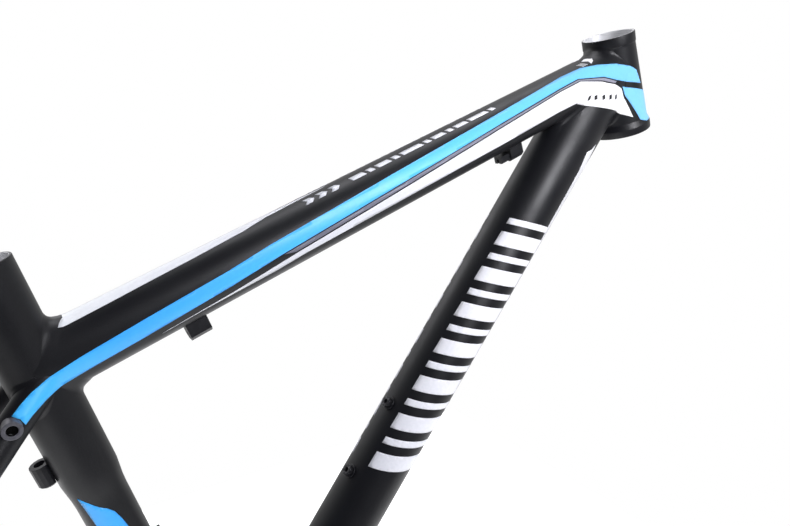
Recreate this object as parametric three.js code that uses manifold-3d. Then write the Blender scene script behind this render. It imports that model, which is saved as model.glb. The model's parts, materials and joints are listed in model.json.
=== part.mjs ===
// A hardtail bicycle frame, built as an assembly of its separate tubes, plates and fasteners.
// Millimetres, +X forward, +Y to the rider's left, +Z up.
// The origin is the centre of the bottom-bracket shell.
import * as THREE from 'three';
import { mergeVertices } from 'three/addons/utils/BufferGeometryUtils.js';
import Module from 'manifold-3d';

const wasm = await Module();
wasm.setup();

// ---- Driving dimensions -------------------------------------------------
const GAP = 0.3; // clearance left at every weld line
const BEYOND = 5; // how far a cutting shape runs past what it cuts
const EDGE = 0.6; // width of a broken edge on a turned tube end
const SIDES = 28; // facets around a large tube
const HEAD_SIDES = 36; // facets around the head tube and the bottom-bracket shell
const STAY_SIDES = 12; // facets around a stay
const SMALL_SIDES = 14; // facets around a boss or a screw

const SEAT_ANGLE = THREE.MathUtils.degToRad(72.8); // from the horizontal
const HEAD_ANGLE = THREE.MathUtils.degToRad(70.4);

const SEAT_TUBE_LENGTH = 415; // from the bottom-bracket centre, along the tube
const SEAT_TUBE_RADIUS = 15.9; // below the sleeve
const SEAT_TUBE_WALL = 1.6;
const SLEEVE_START = 262; // where the thicker upper part of the seat tube begins
const SLEEVE_BLEND = 8; // the outside widens from this far below that point to this far above it
const SLEEVE_RADIUS = 17.5;
const SEAT_POST_BORE = 15.8; // bore radius for a 31.6 mm seat post
const CLAMP_SLIT = { width: 3, length: 32, hole: 2.5 };

const HEAD_TOP = new THREE.Vector3(397, 0, 560.7);
const HEAD_LENGTH = 94;
const HEAD_COLLAR = { radius: 24.4, height: 10 };
const HEAD_BODY = { top: 23.9, bottom: 27.4 };
const HEAD_RING = { radius: 29.8, height: 7, flare: 5 };
const UPPER_CUP = { radius: 22, depth: 16 };
const LOWER_CUP = { radius: 27, depth: 12 };
const HEAD_BORE = 20.8;

const TOP_TUBE = { seatEnd: 346.8, headEnd: 30.6, height: 21, seatWidth: 18, headWidth: 24.5, wall: 1.6 };
const DOWN_TUBE = { start: new THREE.Vector3(0.5, 0, 6.4), headEnd: 24.6, wall: 1.7 };
const DOWN_TUBE_WIDTH = { shell: 27, head: 26.4 }; // half widths
const DOWN_TUBE_HEIGHT = { shell: 21.5, slope: 4.8, bulge: 5.7 }; // half height: shell + slope t + bulge t^2

const SHELL = { radius: 20, bore: 16.8, width: 73 };
const AXLE = new THREE.Vector3(-423.6, 0, 35);
const HUB_WIDTH = 135; // between the inner faces of the dropouts
// The plate is `web` thick, and `thickness` over the raised round pads that the hub is clamped between.
const DROPOUT = { thickness: 7, web: 6, pad: 14.5, radius: 16, slot: 5.1, tab: 6.5 };
const STAY_WALL = 1.6;

const BOTTLE_SPACING = 64;
const DOWN_TUBE_BOLT = 278.8; // upper bottle bolt, along the down tube
const SEAT_TUBE_BOLT = 200; // upper bottle bolt, along the seat tube

// ---- Directions worked out from the angles ------------------------------
const seatDirection = new THREE.Vector3(-Math.cos(SEAT_ANGLE), 0, Math.sin(SEAT_ANGLE));
const headDirection = new THREE.Vector3(-Math.cos(HEAD_ANGLE), 0, Math.sin(HEAD_ANGLE));
const onSeatAxis = (distance) => seatDirection.clone().multiplyScalar(distance);
const onHeadAxis = (below) => HEAD_TOP.clone().addScaledVector(headDirection, -below);

const topTubeStart = onSeatAxis(TOP_TUBE.seatEnd);
const topTubeEnd = onHeadAxis(TOP_TUBE.headEnd);
const topTubeDirection = topTubeEnd.clone().sub(topTubeStart).normalize();
const downTubeEnd = onHeadAxis(DOWN_TUBE.headEnd);
const downTubeDirection = downTubeEnd.clone().sub(DOWN_TUBE.start).normalize();

// ---- Paints and metals --------------------------------------------------
const finish = (color, roughness, metalness) =>
  new THREE.MeshStandardMaterial({ color, roughness, metalness });
const blackPaint = finish(0x1f2024, 0.42, 0.1);
const machinedAluminium = finish(0xc9ccd0, 0.3, 0.95);
const blackSteel = finish(0x17181a, 0.35, 0.8);
const blackPlastic = finish(0x141516, 0.6, 0.0);

// ---- Solid helpers ------------------------------------------------------
const toSolid = (geometry) => {
  const bare = geometry.index ? geometry.toNonIndexed() : geometry.clone();
  bare.deleteAttribute('normal');
  bare.deleteAttribute('uv');
  const merged = mergeVertices(bare, 1e-4);
  return new wasm.Manifold(new wasm.Mesh({
    numProp: 3,
    vertProperties: new Float32Array(merged.attributes.position.array),
    triVerts: new Uint32Array(merged.index.array),
  }));
};

const toGeometry = (solid) => {
  const mesh = solid.getMesh();
  const geometry = new THREE.BufferGeometry();
  geometry.setAttribute('position', new THREE.BufferAttribute(new Float32Array(mesh.vertProperties), 3));
  geometry.setIndex(new THREE.BufferAttribute(new Uint32Array(mesh.triVerts), 1));
  geometry.computeVertexNormals();
  return geometry;
};

// Cuts the tools away and keeps the largest body, so no thin offcut stays behind a mitre.
const cut = (solid, ...tools) => {
  const bodies = tools.reduce((left, tool) => left.subtract(tool), solid).decompose();
  return bodies.reduce((largest, body) => (body.volume() > largest.volume() ? body : largest));
};

// Places a geometry made along +Z so that its own +Z runs along `direction` and its own Y stays sideways.
const alongDirection = (geometry, origin, direction) => {
  const side = new THREE.Vector3(0, 1, 0);
  const across = side.clone().cross(direction).normalize();
  const basis = new THREE.Matrix4().makeBasis(across, side, direction.clone().normalize());
  basis.setPosition(origin);
  return geometry.applyMatrix4(basis);
};

// A lathe turned about +Z from [radius, height] pairs.
const lathed = (profile, sides = SIDES) => {
  const points = profile.map(([radius, height]) => new THREE.Vector2(radius, height));
  return new THREE.LatheGeometry(points, sides).rotateX(Math.PI / 2);
};

const cylinder = (radius, from, to, sides = SIDES) =>
  lathed([[0, from], [radius, from], [radius, to], [0, to]], sides);
const ring = (inner, outer, from, to, sides = SIDES) => lathed(
  [[outer, from], [outer, to], [inner, to], [inner, from], [outer, from]], sides);

// A tube swept along a curve. halfHeight(t) is measured in the frame's plane and halfWidth(t) sideways.
// A wall of null makes a solid bar of the same outline.
const swept = (curve, steps, halfHeight, halfWidth, wall, sides) => {
  const outer = Array.from({ length: steps + 1 }, (_, i) => [2, i / steps]);
  const inner = Array.from({ length: steps + 1 }, (_, i) => [1, 1 - i / steps]);
  const profile = wall === null ? [[0, 0], ...outer, [0, 1]] : [...outer, ...inner, [2, 0]];
  const geometry = lathed(profile, sides);
  const position = geometry.attributes.position;
  const point = new THREE.Vector3();
  for (let i = 0; i < position.count; i += 1) {
    point.fromBufferAttribute(position, i);
    const t = THREE.MathUtils.clamp(point.z, 0, 1);
    const radius = Math.hypot(point.x, point.y);
    const tangent = curve.getTangent(t);
    const across = new THREE.Vector3(0, 1, 0).cross(tangent).normalize();
    const side = tangent.clone().cross(across);
    const shrink = radius > 1.5 || wall === null ? 0 : wall;
    const unit = radius < 0.5 ? 0 : 1 / radius;
    const high = (halfHeight(t) - shrink) * point.x * unit;
    const wide = (halfWidth(t) - shrink) * point.y * unit;
    const centre = curve.getPoint(t).addScaledVector(across, high).addScaledVector(side, wide);
    position.setXYZ(i, centre.x, centre.y, centre.z);
  }
  return geometry;
};

// ---- Main tubes ---------------------------------------------------------
const headOutline = (grow) => {
  const base = -HEAD_LENGTH;
  const ringTop = base + HEAD_RING.height;
  return [
    [HEAD_COLLAR.radius - EDGE + grow, 0], [HEAD_COLLAR.radius + grow, -EDGE],
    [HEAD_COLLAR.radius + grow, 1 - HEAD_COLLAR.height], [HEAD_BODY.top + grow, -HEAD_COLLAR.height],
    [HEAD_BODY.bottom + grow, ringTop + HEAD_RING.flare], [HEAD_RING.radius + grow, ringTop],
    [HEAD_RING.radius + grow, base + EDGE], [HEAD_RING.radius - EDGE + grow, base],
  ];
};

const headTube = () => {
  const base = -HEAD_LENGTH;
  const outline = headOutline(0);
  const bore = [
    [LOWER_CUP.radius, base], [LOWER_CUP.radius, base + LOWER_CUP.depth],
    [HEAD_BORE, base + LOWER_CUP.depth + 4], [HEAD_BORE, -UPPER_CUP.depth],
    [UPPER_CUP.radius, -UPPER_CUP.depth], [UPPER_CUP.radius, 0],
  ];
  const profile = [...outline, ...bore, outline[0]].reverse();
  return alongDirection(lathed(profile, HEAD_SIDES), HEAD_TOP, headDirection);
};

const headTubeCutter = () => {
  const outline = headOutline(GAP);
  const profile = [[0, 0], ...outline, [0, -HEAD_LENGTH]].reverse();
  return alongDirection(lathed(profile, HEAD_SIDES), HEAD_TOP, headDirection);
};

const seatTubeProfile = (grow) => [
  [SEAT_TUBE_RADIUS + grow, 0], [SEAT_TUBE_RADIUS + grow, SLEEVE_START - SLEEVE_BLEND],
  [SLEEVE_RADIUS + grow, SLEEVE_START + SLEEVE_BLEND], [SLEEVE_RADIUS + grow, SEAT_TUBE_LENGTH - EDGE],
  [SLEEVE_RADIUS - EDGE + grow, SEAT_TUBE_LENGTH],
];

const seatTubeCutter = () => alongDirection(
  lathed([[0, 0], ...seatTubeProfile(GAP), [0, SEAT_TUBE_LENGTH]]), new THREE.Vector3(), seatDirection);

const seatTube = () => {
  const lowerBore = SEAT_TUBE_RADIUS - SEAT_TUBE_WALL;
  const boreStep = SLEEVE_START + SLEEVE_BLEND + 2;
  const bore = [
    [SEAT_POST_BORE, SEAT_TUBE_LENGTH], [SEAT_POST_BORE, boreStep + 4], [lowerBore, boreStep], [lowerBore, 0],
  ];
  const outline = seatTubeProfile(0);
  const tube = alongDirection(lathed([...outline, ...bore, outline[0]]), new THREE.Vector3(), seatDirection);
  return toGeometry(cut(toSolid(tube), shellCutter(), ...clampSlit(), ...bottleHoles(seatTubeBosses)));
};

// The slit at the back of the seat tube that lets a clamp squeeze the post, with a round end.
const clampSlit = () => {
  const depth = 2 * SLEEVE_RADIUS;
  const slit = new THREE.BoxGeometry(depth, CLAMP_SLIT.width, CLAMP_SLIT.length + 2 * BEYOND);
  slit.translate(-depth / 2, 0, SEAT_TUBE_LENGTH - CLAMP_SLIT.length / 2 + BEYOND);
  const hole = new THREE.CylinderGeometry(CLAMP_SLIT.hole, CLAMP_SLIT.hole, depth, 16);
  hole.rotateZ(Math.PI / 2).translate(-depth / 2, 0, SEAT_TUBE_LENGTH - CLAMP_SLIT.length);
  return [slit, hole].map((shape) => toSolid(alongDirection(shape, new THREE.Vector3(), seatDirection)));
};

const topTubeShape = (grow, wall, steps) => swept(
  new THREE.LineCurve3(topTubeStart, topTubeEnd), steps, () => TOP_TUBE.height + grow,
  (t) => THREE.MathUtils.lerp(TOP_TUBE.seatWidth, TOP_TUBE.headWidth, t) + grow, wall, SIDES);

const topTube = () => {
  const shape = toSolid(topTubeShape(0, TOP_TUBE.wall, 1));
  return toGeometry(cut(shape, seatTubeCutterSolid, headTubeCutterSolid));
};

const downTubeHalfHeight = (t) =>
  DOWN_TUBE_HEIGHT.shell + DOWN_TUBE_HEIGHT.slope * t + DOWN_TUBE_HEIGHT.bulge * t * t;
const downTubeHalfWidth = (t) => THREE.MathUtils.lerp(DOWN_TUBE_WIDTH.shell, DOWN_TUBE_WIDTH.head, t);

const downTubeShape = (grow, wall, steps) => swept(
  new THREE.LineCurve3(DOWN_TUBE.start, downTubeEnd), steps,
  (t) => downTubeHalfHeight(t) + grow, (t) => downTubeHalfWidth(t) + grow, wall, SIDES);

// Everything above the middle of the top tube, where the deep end of the down tube stops.
const aboveTopTube = () => {
  const size = 160;
  const block = new THREE.BoxGeometry(size, size, 2 * size).translate(-size / 2, 0, 0);
  return toSolid(alongDirection(block, topTubeEnd, topTubeDirection));
};

const downTube = () => {
  const shape = toSolid(downTubeShape(0, DOWN_TUBE.wall, 6));
  const topTubeSolid = toSolid(topTubeShape(GAP, null, 1));
  const neighbours = [shellCutter(), seatTubeCutterSolid, headTubeCutterSolid, topTubeSolid, aboveTopTube()];
  return toGeometry(cut(shape, ...neighbours, ...bottleHoles(downTubeBosses)));
};

// ---- Bottom-bracket shell -----------------------------------------------
const shellAxis = (geometry) => geometry.rotateX(Math.PI / 2);
const shell = () => shellAxis(ring(SHELL.bore, SHELL.radius, -SHELL.width / 2, SHELL.width / 2, HEAD_SIDES));
const shellCutter = () => {
  const half = SHELL.width / 2 + BEYOND;
  return toSolid(shellAxis(cylinder(SHELL.radius + GAP, -half, half, HEAD_SIDES)));
};

// ---- Stays --------------------------------------------------------------
// side is -1 for the right-hand stay and +1 for the left-hand one.
const stayCurve = (points, side) => new THREE.CatmullRomCurve3(
  points.map(([x, y, z]) => new THREE.Vector3(x, side * y, z)), false, 'centripetal');

const SEAT_STAY_POINTS = [
  [-98, 10, 328], [-117, 21, 307], [-150, 38.5, 272], [-235, 54, 197], [-330, 64, 117], [-407, 71, 54],
];
const CHAIN_STAY_POINTS = [
  [-12, 27, -1], [-50, 31, 2], [-95, 40.5, 6], [-180, 50, 13], [-300, 62, 24], [-402, 71, 33],
];
const SEAT_STAY_RADIUS = { top: 9.2, bottom: 8 };
const CHAIN_STAY_SIZE = { height: 11.5, width: 9, end: 8 };

const seatStayShape = (side, grow, wall) => {
  const radius = (t) => THREE.MathUtils.lerp(SEAT_STAY_RADIUS.top, SEAT_STAY_RADIUS.bottom, t) + grow;
  return swept(stayCurve(SEAT_STAY_POINTS, side), 10, radius, radius, wall, STAY_SIDES);
};

const chainStayShape = (side, grow, wall) => swept(
  stayCurve(CHAIN_STAY_POINTS, side), 10,
  (t) => THREE.MathUtils.lerp(CHAIN_STAY_SIZE.height, CHAIN_STAY_SIZE.end, t) + grow,
  (t) => THREE.MathUtils.lerp(CHAIN_STAY_SIZE.width, CHAIN_STAY_SIZE.end, t) + grow, wall, STAY_SIDES);

const seatStay = (side) => toGeometry(cut(
  toSolid(seatStayShape(side, 0, STAY_WALL)), seatTubeCutterSolid, toSolid(topTubeShape(GAP, null, 1)),
  dropoutCutter(side), rackBossCutter(side)));

const chainStay = (side) => toGeometry(cut(
  toSolid(chainStayShape(side, 0, STAY_WALL)), shellCutter(), seatTubeCutterSolid, dropoutCutter(side)));

const SEAT_BRIDGE = { x: -163, z: 260.5, radius: 6.5, reach: 40 };
const CHAIN_BRIDGE = { x: -66, z: 3.2, radius: 6, reach: 32 };

const bridge = (place, stayShape) => {
  const { radius, reach } = place;
  const tube = ring(radius - STAY_WALL, radius, -reach, reach, SMALL_SIDES).rotateX(Math.PI / 2);
  tube.translate(place.x, 0, place.z);
  return toGeometry(cut(toSolid(tube), toSolid(stayShape(1, GAP, null)), toSolid(stayShape(-1, GAP, null))));
};

// ---- Dropouts and hanger ------------------------------------------------
// Outlines are drawn in x and z around the axle, then given their thickness along y.
const platesAlongY = (shape, thickness) => new THREE.ExtrudeGeometry(
  shape, { depth: thickness, bevelEnabled: false, curveSegments: 10 }).rotateX(Math.PI / 2);

const circlePath = (x, z, radius, corners = 16) => new THREE.Path(Array.from({ length: corners }, (_, i) => {
  const angle = (i / corners) * 2 * Math.PI;
  return new THREE.Vector2(x + radius * Math.cos(angle), z + radius * Math.sin(angle));
}));

const SEAT_STAY_TAB = new THREE.Vector2(25, 29); // centre of the tab that enters the seat stay, from the axle
const CHAIN_STAY_TAB = new THREE.Vector2(33, -3.5);
const EYELET = { x: -16, z: 15, radius: 6, hole: 2.6 };

const dropoutOutline = (grow) => {
  const outer = DROPOUT.radius + grow;
  const tab = DROPOUT.tab + grow;
  const slot = DROPOUT.slot - grow;
  const lip = Math.acos(slot / outer);
  const shape = new THREE.Shape();
  shape.moveTo(-slot, -outer * Math.sin(lip));
  shape.lineTo(-slot, -slot);
  shape.absarc(0, 0, slot, Math.PI, 0, true);
  shape.lineTo(slot, -outer * Math.sin(lip));
  shape.lineTo(CHAIN_STAY_TAB.x - 14, CHAIN_STAY_TAB.y - tab - 3);
  shape.absarc(CHAIN_STAY_TAB.x, CHAIN_STAY_TAB.y, tab, -Math.PI / 2, Math.PI / 2, false);
  shape.lineTo(CHAIN_STAY_TAB.x - 10, CHAIN_STAY_TAB.y + tab + 4);
  shape.absarc(SEAT_STAY_TAB.x, SEAT_STAY_TAB.y, tab, -Math.PI / 4, Math.PI * 3 / 4, false);
  shape.lineTo(EYELET.x + 8, EYELET.z + EYELET.radius + 2);
  shape.absarc(EYELET.x, EYELET.z, EYELET.radius + grow, Math.PI / 2, Math.PI * 1.1, false);
  shape.absarc(0, 0, outer, Math.PI * 0.97, Math.PI + lip - 0.04, false);
  return shape;
};

const dropoutPlate = (side, grow, thickness) => {
  const shape = dropoutOutline(grow);
  if (grow === 0) {
    shape.holes.push(circlePath(EYELET.x, EYELET.z, EYELET.hole));
    if (side < 0) shape.holes.push(circlePath(HANGER_BOLT.x, HANGER_BOLT.z, HANGER_BOLT.shank + GAP));
  }
  const middle = side * (HUB_WIDTH + DROPOUT.thickness) / 2;
  return platesAlongY(shape, thickness).translate(AXLE.x, middle + thickness / 2, AXLE.z);
};

const dropoutCutter = (side) => toSolid(dropoutPlate(side, GAP, DROPOUT.thickness + 2 * GAP));

// The plate with its two pads, which are the part of a thicker plate that lies close round the axle.
const dropout = (side) => {
  const half = HUB_WIDTH / 2 + DROPOUT.thickness + BEYOND;
  const nearAxle = cylinder(DROPOUT.pad, -half, half, HEAD_SIDES);
  nearAxle.rotateX(Math.PI / 2).translate(AXLE.x, 0, AXLE.z);
  const pads = toSolid(dropoutPlate(side, 0, DROPOUT.thickness)).intersect(toSolid(nearAxle));
  return toGeometry(toSolid(dropoutPlate(side, 0, DROPOUT.web)).add(pads));
};

const HANGER = { thickness: 4, ring: 16, hole: new THREE.Vector2(-15, -27), boss: 9, thread: 4.4 };
const HANGER_BOLT = { x: -8.2, z: 8.2, shank: 2, head: 3.2, headHeight: 2.2, socket: 1.25 };

const hanger = () => {
  const slot = DROPOUT.slot;
  const shape = new THREE.Shape();
  shape.moveTo(-slot, -HANGER.ring);
  shape.lineTo(-slot, -slot);
  shape.absarc(0, 0, slot, Math.PI, 0, true);
  shape.lineTo(slot, -HANGER.ring + 2);
  shape.absarc(0, 0, HANGER.ring, -Math.PI * 0.35, Math.PI, false);
  shape.absarc(HANGER.hole.x, HANGER.hole.y, HANGER.boss, Math.PI, Math.PI * 2.1, false);
  shape.holes.push(circlePath(HANGER.hole.x, HANGER.hole.y, HANGER.thread));
  shape.holes.push(circlePath(HANGER_BOLT.x, HANGER_BOLT.z, HANGER_BOLT.shank + GAP));
  const face = -HUB_WIDTH / 2 - DROPOUT.thickness - GAP;
  return platesAlongY(shape, HANGER.thickness).translate(AXLE.x, face, AXLE.z);
};

// A cap screw standing on z = 0 with its head above and its shank below.
const capScrew = (shank, length, head, headHeight, socket) => {
  const body = lathed([[0, -length], [shank, -length], [shank, 0], [head, 0], [head, headHeight - 0.4],
    [head - 0.4, headHeight], [0, headHeight]], SMALL_SIDES);
  const hex = new THREE.CylinderGeometry(socket, socket, headHeight * 2, 6).rotateX(Math.PI / 2);
  hex.translate(0, 0, headHeight + headHeight * 0.35);
  return toGeometry(toSolid(body).subtract(toSolid(hex)));
};

const hangerBolt = () => {
  const outerFace = -HUB_WIDTH / 2 - DROPOUT.thickness - 2 * GAP - HANGER.thickness;
  const screw = capScrew(HANGER_BOLT.shank, 9, HANGER_BOLT.head, HANGER_BOLT.headHeight, HANGER_BOLT.socket);
  return screw.rotateX(Math.PI / 2).translate(AXLE.x + HANGER_BOLT.x, outerFace, AXLE.z + HANGER_BOLT.z);
};

// ---- Disc brake mount ---------------------------------------------------
const DISC_MOUNT = { thickness: 6, spacing: 51, hole: 3.1, ear: 8, offset: 17, start: 40, face: 64.5 };

const discMount = () => {
  const along = new THREE.Vector2(SEAT_STAY_POINTS[4][0] - SEAT_STAY_POINTS[5][0],
    SEAT_STAY_POINTS[4][2] - SEAT_STAY_POINTS[5][2]).normalize();
  const shape = new THREE.Shape();
  const { spacing, ear, offset, start } = DISC_MOUNT;
  shape.moveTo(start - ear, 0);
  shape.lineTo(start - ear, offset / 2);
  shape.absarc(start, offset, ear, Math.PI, Math.PI / 2, true);
  shape.lineTo(start + 10, offset + 2);
  shape.lineTo(start + spacing - 10, offset + 2);
  shape.absarc(start + spacing, offset, ear, Math.PI / 2, 0, true);
  shape.lineTo(start + spacing + ear + 4, 0);
  shape.holes.push(circlePath(start, offset, DISC_MOUNT.hole));
  shape.holes.push(circlePath(start + spacing, offset, DISC_MOUNT.hole));
  const plate = new THREE.ExtrudeGeometry(
    shape, { depth: DISC_MOUNT.thickness, bevelEnabled: false, curveSegments: 8 });
  const basis = new THREE.Matrix4().makeBasis(
    new THREE.Vector3(along.x, 0, along.y),
    new THREE.Vector3(-along.y, 0, along.x),
    new THREE.Vector3(0, -1, 0));
  plate.applyMatrix4(basis);
  plate.translate(AXLE.x, DISC_MOUNT.face + DISC_MOUNT.thickness, AXLE.z);
  const clear = [toSolid(seatStayShape(1, GAP, null)), dropoutCutter(1)];
  return toGeometry(cut(toSolid(plate), ...clear));
};

// ---- Bottle bosses and bolts --------------------------------------------
const BOSS = { flange: 5.6, flangeHeight: 1.2, edge: 0.3, body: 3.6, depth: 11, thread: 2.6 };
const BOTTLE_BOLT = { shank: 2.2, length: 13, head: 4.6, headHeight: 3.4, socket: 2 };

const downTubeLength = DOWN_TUBE.start.distanceTo(downTubeEnd);
const downTubeOutward = new THREE.Vector3(-downTubeDirection.z, 0, downTubeDirection.x);
const seatTubeOutward = new THREE.Vector3(seatDirection.z, 0, -seatDirection.x);

const downTubeBoss = (distance) => ({
  at: DOWN_TUBE.start.clone().addScaledVector(downTubeDirection, distance)
    .addScaledVector(downTubeOutward, downTubeHalfHeight(distance / downTubeLength) + GAP),
  outward: downTubeOutward,
});
const seatTubeBoss = (distance) => ({
  at: onSeatAxis(distance).addScaledVector(seatTubeOutward, SEAT_TUBE_RADIUS + GAP),
  outward: seatTubeOutward,
});
const downTubeBosses = [downTubeBoss(DOWN_TUBE_BOLT), downTubeBoss(DOWN_TUBE_BOLT - BOTTLE_SPACING)];
const seatTubeBosses = [seatTubeBoss(SEAT_TUBE_BOLT), seatTubeBoss(SEAT_TUBE_BOLT - BOTTLE_SPACING)];

function bottleHoles(bosses) {
  return bosses.map(({ at, outward }) => toSolid(
    alongDirection(cylinder(BOSS.body + GAP, -BOSS.depth, BEYOND, SMALL_SIDES), at, outward)));
}

const bottleBoss = ({ at, outward }) => alongDirection(lathed([
  [BOSS.thread, -BOSS.depth], [BOSS.body, -BOSS.depth], [BOSS.body, 0], [BOSS.flange, 0],
  [BOSS.flange, BOSS.flangeHeight - BOSS.edge], [BOSS.flange - BOSS.edge, BOSS.flangeHeight],
  [BOSS.thread, BOSS.flangeHeight], [BOSS.thread, -BOSS.depth]], SMALL_SIDES), at, outward);

const bottleBolt = ({ at, outward }) => {
  const { shank, length, head, headHeight, socket } = BOTTLE_BOLT;
  const foot = at.clone().addScaledVector(outward, BOSS.flangeHeight + GAP);
  return alongDirection(capScrew(shank, length, head, headHeight, socket), foot, outward);
};

// ---- Cable guides and stops ---------------------------------------------
const GUIDE = {
  length: 15, height: 11.5, width: 12, chamfer: 3, housing: 2.7, stop: 5, cable: 1.3, slit: 1.8, drop: 6.5,
};
const REAR_GUIDE = { at: 85, prong: 0 }; // distance along the top tube from the seat tube's axis
const FRONT_GUIDE = { at: 391, prong: 11 };
const TONGUE = { width: 8.4, thickness: 6 }; // the bar that reaches back from the front guide

// A cable stop block hanging under the top tube: a housing bore from the front, a cable bore behind it,
// and a slit from below so that the cable can be lifted out.
const cableGuide = (distance, prong) => {
  const { length, height, width, chamfer, housing, stop, cable, slit, drop } = GUIDE;
  const profile = new THREE.Shape();
  profile.moveTo(-width / 2, BEYOND);
  profile.lineTo(-width / 2, chamfer - height);
  profile.lineTo(chamfer - width / 2, -height);
  profile.lineTo(width / 2 - chamfer, -height);
  profile.lineTo(width / 2, chamfer - height);
  profile.lineTo(width / 2, BEYOND);
  const block = new THREE.ExtrudeGeometry(profile, { depth: length, bevelEnabled: false });
  const tongue = new THREE.BoxGeometry(TONGUE.width, TONGUE.thickness, prong + BEYOND);
  tongue.translate(0, -drop, (BEYOND - prong) / 2);
  const reach = length + prong + BEYOND;
  const bores = [
    cylinder(housing, stop, reach, 16).translate(0, -drop, 0),
    cylinder(cable, -reach, reach, 12).translate(0, -drop, 0),
    new THREE.BoxGeometry(slit, height, 2 * reach).translate(0, -drop - height / 2, 0),
  ];
  const whole = prong > 0 ? toSolid(block).add(toSolid(tongue)) : toSolid(block);
  const solid = cut(whole, ...bores.map(toSolid));
  const up = topTubeDirection.clone().cross(new THREE.Vector3(0, 1, 0));
  const origin = topTubeStart.clone().addScaledVector(topTubeDirection, distance);
  origin.addScaledVector(up, -TOP_TUBE.height);
  const basis = new THREE.Matrix4().makeBasis(up.clone().cross(topTubeDirection), up, topTubeDirection);
  basis.setPosition(origin);
  const placed = toSolid(toGeometry(solid).applyMatrix4(basis));
  return toGeometry(cut(placed, toSolid(topTubeShape(GAP, null, 1))));
};

const CABLE_STOP = {
  from: 275, to: 290, offset: 21, radius: 6, chamfer: 1.2, housing: 3.2, cable: 1.3, floor: 5,
};
const WEB = { width: 8, shorter: 3 };

// The barrel at the back of the seat tube: an open socket above, a cable hole below.
const seatTubeStop = () => {
  const { from, to, offset, radius, chamfer, housing, cable, floor } = CABLE_STOP;
  const outline = [[0, from], [radius - chamfer, from], [radius, from + chamfer], [radius, to], [0, to]];
  const barrel = lathed(outline, SMALL_SIDES);
  const web = new THREE.BoxGeometry(offset, WEB.width, to - from - WEB.shorter);
  web.translate(offset / 2, 0, (from + to) / 2);
  const socket = cylinder(housing, from + floor, to + BEYOND, SMALL_SIDES);
  const cableHole = cylinder(cable, from - BEYOND, to, SMALL_SIDES);
  const place = (geometry) => toSolid(
    alongDirection(geometry.translate(-offset, 0, 0), new THREE.Vector3(), seatDirection));
  return toGeometry(cut(place(barrel).add(place(web)), place(socket), place(cableHole), seatTubeCutterSolid));
};

const SHELL_GUIDE = { width: 44, thickness: 3, arc: 53, grooveAt: 12, groove: 1.5 };
const GUIDE_SCREW = { shank: 1.8, length: 3, head: 4, headHeight: 2, socket: 1.2 };

// The plastic plate under the bottom-bracket shell that the gear cables slide in.
const shellGuide = () => {
  const inner = SHELL.radius + GAP;
  const outer = inner + SHELL_GUIDE.thickness;
  const arc = THREE.MathUtils.degToRad(SHELL_GUIDE.arc);
  const shape = new THREE.Shape();
  shape.absarc(0, 0, outer, -Math.PI / 2 - arc, -Math.PI / 2 + arc, false);
  shape.absarc(0, 0, inner, -Math.PI / 2 + arc, -Math.PI / 2 - arc, true);
  const plate = new THREE.ExtrudeGeometry(
    shape, { depth: SHELL_GUIDE.width, bevelEnabled: false, curveSegments: 10 });
  plate.rotateX(Math.PI / 2).translate(0, SHELL_GUIDE.width / 2, 0);
  const grooves = [-1, 1].map((side) => toSolid(
    new THREE.TorusGeometry(outer + GAP, SHELL_GUIDE.groove, 6, SIDES).rotateX(Math.PI / 2)
      .translate(0, side * SHELL_GUIDE.grooveAt, 0)));
  const hole = cylinder(GUIDE_SCREW.shank + GAP, -outer - BEYOND, BEYOND - SHELL.radius, 16);
  return toGeometry(cut(toSolid(plate), ...grooves, toSolid(hole)));
};

const shellGuideScrew = () => {
  const { shank, length, head, headHeight, socket } = GUIDE_SCREW;
  const screw = capScrew(shank, length, head, headHeight, socket);
  return screw.rotateX(Math.PI).translate(0, 0, -SHELL.radius - SHELL_GUIDE.thickness - 2 * GAP);
};

// ---- Rack bosses --------------------------------------------------------
const RACK_BOSS = { x: -117, z: 310.5, outer: 5.3, bore: 2.6, face: 32.5, depth: 13 };

const rackBossBody = (side, grow) => {
  const { x, z, outer, bore, face, depth } = RACK_BOSS;
  const foot = face - depth;
  const shape = grow > 0
    ? cylinder(outer + grow, foot - grow, face + BEYOND, SMALL_SIDES)
    : lathed([
      [bore, foot], [outer, foot], [outer, face - EDGE], [outer - EDGE, face], [bore, face], [bore, foot],
    ], SMALL_SIDES);
  return shape.rotateX(-side * Math.PI / 2).translate(x, 0, z);
};
function rackBossCutter(side) {
  return toSolid(rackBossBody(side, GAP));
}

// ---- Assembly -----------------------------------------------------------
const seatTubeCutterSolid = toSolid(seatTubeCutter());
const headTubeCutterSolid = toSolid(headTubeCutter());

const frame = new THREE.Group();
const add = (name, geometry, material) => {
  const mesh = new THREE.Mesh(geometry, material);
  mesh.name = name;
  frame.add(mesh);
};

add('head_tube', headTube(), blackPaint);
add('seat_tube', seatTube(), blackPaint);
add('top_tube', topTube(), blackPaint);
add('down_tube', downTube(), blackPaint);
add('bb_shell', shell(), blackPaint);
add('seat_stay_bridge', bridge(SEAT_BRIDGE, seatStayShape), blackPaint);
add('chain_stay_bridge', bridge(CHAIN_BRIDGE, chainStayShape), blackPaint);

for (const [word, side] of [['right', -1], ['left', 1]]) {
  add(`seat_stay_${word}`, seatStay(side), blackPaint);
  add(`chain_stay_${word}`, chainStay(side), blackPaint);
  add(`dropout_${word}`, dropout(side), blackPaint);
  add(`rack_boss_${word}`, rackBossBody(side, 0), blackSteel);
}

add('derailleur_hanger', hanger(), machinedAluminium);
add('hanger_bolt', hangerBolt(), blackSteel);
add('disc_brake_mount', discMount(), blackPaint);

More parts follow.
